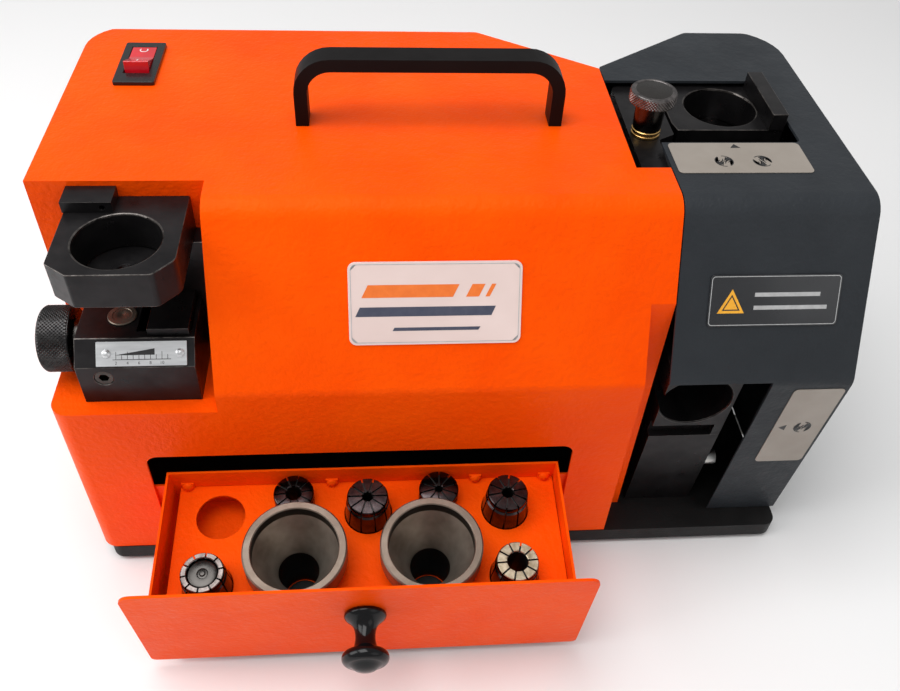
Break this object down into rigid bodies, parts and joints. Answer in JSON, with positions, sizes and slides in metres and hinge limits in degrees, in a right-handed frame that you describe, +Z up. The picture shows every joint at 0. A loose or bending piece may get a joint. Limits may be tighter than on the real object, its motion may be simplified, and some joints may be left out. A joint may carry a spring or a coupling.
{
  "type": "drill bit sharpener",
  "caption": "Bench drill bit sharpener: sheet-metal housing, hinged wheel cover with chuck ports, point-setting head and a tip-out drawer of chucks and collets.",
  "frame": {"origin": "middle of the footprint of the whole machine with its drawer drawn out, on the bench under its feet", "axes": "+X to the machine's right seen from the front, along its width; +Y from front to back; +Z up from the bench"},
  "size_m": [0.3977, 0.3246, 0.2514],
  "materials": {
    "orange_powder_coat": "orange powder coat with a fine orange-peel texture",
    "grey_powder_coat": "dark slate grey powder coat",
    "black_powder_coat": "black powder coat",
    "black_oxide_steel": "black oxide with bright worn edges",
    "knurled_steel": "dark knurled steel",
    "brass": "turned brass",
    "bright_steel": "bright turned steel",
    "zinc_steel": "zinc plated",
    "chuck_steel": "satin steel, turned rings",
    "collet_steel": "dark oiled hardened steel",
    "cast_alloy": "sand-cast alloy",
    "core_steel": "stacked laminations",
    "winding_wire": "varnished winding wire",
    "abrasive": "bonded abrasive grit",
    "scale_silver": "satin engraved plate",
    "handle_black": "satin black",
    "black_plastic": "glossy black moulding",
    "switch_red": "glossy red moulding",
    "fan_plastic": "dark moulding",
    "foot_rubber": "black rubber",
    "name_label": "pale printed foil",
    "port_label": "grey printed foil",
    "caution_label": "black printed foil"
  },
  "bodies": {
    "machine": {"base_plate": "black_powder_coat", "rubber_feet": "foot_rubber", "body_screws": "zinc_steel", "housing": "orange_powder_coat", "bulkhead": "black_powder_coat", "carry_handle": "handle_black", "switch_body": "black_plastic", "name_plate": "name_label", "cord_gland": "black_plastic", "hinge_base_leaf": "zinc_steel", "hinge_pin": "zinc_steel", "port_casting": "black_oxide_steel", "feed_plate": "black_oxide_steel", "top_port_block": "black_oxide_steel", "top_port_rail": "black_oxide_steel", "front_port_block": "black_oxide_steel", "brass_ring": "brass", "motor_shell": "cast_alloy", "stator_core": "core_steel", "stator_windings": "winding_wire", "fan_end_bell": "cast_alloy", "drive_end_bell": "cast_alloy", "motor_bearings": "bright_steel", "motor_cradle": "black_powder_coat", "setting_head": "black_oxide_steel", "setting_rail": "black_oxide_steel", "setting_post": "black_oxide_steel", "setting_base": "black_oxide_steel", "scale_plate": "scale_silver", "scale_rivets": "scale_silver", "gauge_button": "chuck_steel", "lock_screw": "collet_steel"},
    "wheel_cover": {"wheel_cover": "grey_powder_coat", "caution_plate": "caution_label", "top_port_label": "port_label", "front_port_label": "port_label", "hinge_cover_leaf": "zinc_steel"},
    "rocker": {"switch_rocker": "switch_red"},
    "spindle": {"motor_shaft": "bright_steel", "rotor_core": "core_steel", "cooling_fan": "fan_plastic", "grinding_wheel": "bright_steel", "abrasive_rim": "abrasive", "wheel_nut": "zinc_steel"},
    "feed": {"feed_knob": "knurled_steel"},
    "setting_screw": {"setting_knob": "knurled_steel"},
    "jaw": {"setting_jaw": "black_oxide_steel"},
    "drawer": {"drawer_tray": "orange_powder_coat", "drawer_front": "orange_powder_coat", "drawer_deck": "orange_powder_coat", "collet_shelf": "orange_powder_coat", "drawer_knob": "black_plastic"},
    "left_chuck": {"chuck_left": "chuck_steel"},
    "right_chuck": {"chuck_right": "chuck_steel"},
    "collet_front_left": {"collet_front_left": "collet_steel"},
    "collet_back_1": {"collet_back_1": "collet_steel"},
    "collet_back_2": {"collet_back_2": "collet_steel"},
    "collet_back_3": {"collet_back_3": "collet_steel"},
    "collet_back_4": {"collet_back_4": "collet_steel"},
    "collet_front_right": {"collet_front_right": "collet_steel"}
  },
  "joints": [
    {"name": "cover_hinge", "type": "hinge", "parent": "machine", "child": "wheel_cover", "pos_m": [0.19635, 0.0468, 0.0125], "axis": [0, 1, 0], "range_deg": [0, 92]},
    {"name": "drawer_rock", "type": "hinge", "parent": "machine", "child": "drawer", "pos_m": [-0.0492, -0.0332, -0.505], "axis": [-1, 0, 0], "range_deg": [0, 7]},
    {"name": "switch_rock", "type": "hinge", "parent": "machine", "child": "rocker", "pos_m": [-0.16325, 0.10322, 0.21246], "axis": [1, 0, 0], "range_deg": [0, 22]},
    {"name": "spindle_spin", "type": "hinge", "parent": "machine", "child": "spindle", "pos_m": [0.13355, 0.0668, 0.107], "axis": [1, 0, 0], "continuous": true},
    {"name": "feed_turn", "type": "hinge", "parent": "machine", "child": "feed", "pos_m": [0.09615, 0.041, 0.22], "axis": [0, 0, 1], "range_deg": [-180, 180]},
    {"name": "setting_turn", "type": "hinge", "parent": "machine", "child": "setting_screw", "pos_m": [-0.16645, -0.0312, 0.1445], "axis": [1, 0, 0], "range_deg": [0, 1441]},
    {"name": "jaw_slide", "type": "slide", "parent": "machine", "child": "jaw", "axis": [-1, 0, 0], "range_m": [0, 0.005]},
    {"name": "left_chuck_lift", "type": "slide", "parent": "drawer", "child": "left_chuck", "axis": [0, 0.1219, -0.9925], "range_m": [-0.06, 0]},
    {"name": "right_chuck_lift", "type": "slide", "parent": "drawer", "child": "right_chuck", "axis": [0, 0.1219, -0.9925], "range_m": [-0.06, 0]},
    {"name": "collet_front_left_lift", "type": "slide", "parent": "drawer", "child": "collet_front_left", "axis": [0, 0.1219, -0.9925], "range_m": [-0.035, 0]},
    {"name": "collet_back_1_lift", "type": "slide", "parent": "drawer", "child": "collet_back_1", "axis": [0, 0.1219, -0.9925], "range_m": [-0.035, 0]},
    {"name": "collet_back_2_lift", "type": "slide", "parent": "drawer", "child": "collet_back_2", "axis": [0, 0.1219, -0.9925], "range_m": [-0.035, 0]},
    {"name": "collet_back_3_lift", "type": "slide", "parent": "drawer", "child": "collet_back_3", "axis": [0, 0.1219, -0.9925], "range_m": [-0.035, 0]},
    {"name": "collet_back_4_lift", "type": "slide", "parent": "drawer", "child": "collet_back_4", "axis": [0, 0.1219, -0.9925], "range_m": [-0.035, 0]},
    {"name": "collet_front_right_lift", "type": "slide", "parent": "drawer", "child": "collet_front_right", "axis": [0, 0.1219, -0.9925], "range_m": [-0.035, 0]}
  ],
  "couplings": [
    {"joint": "setting_turn", "follows": "jaw_slide", "rad_per_m": 5026.5}
  ]
}
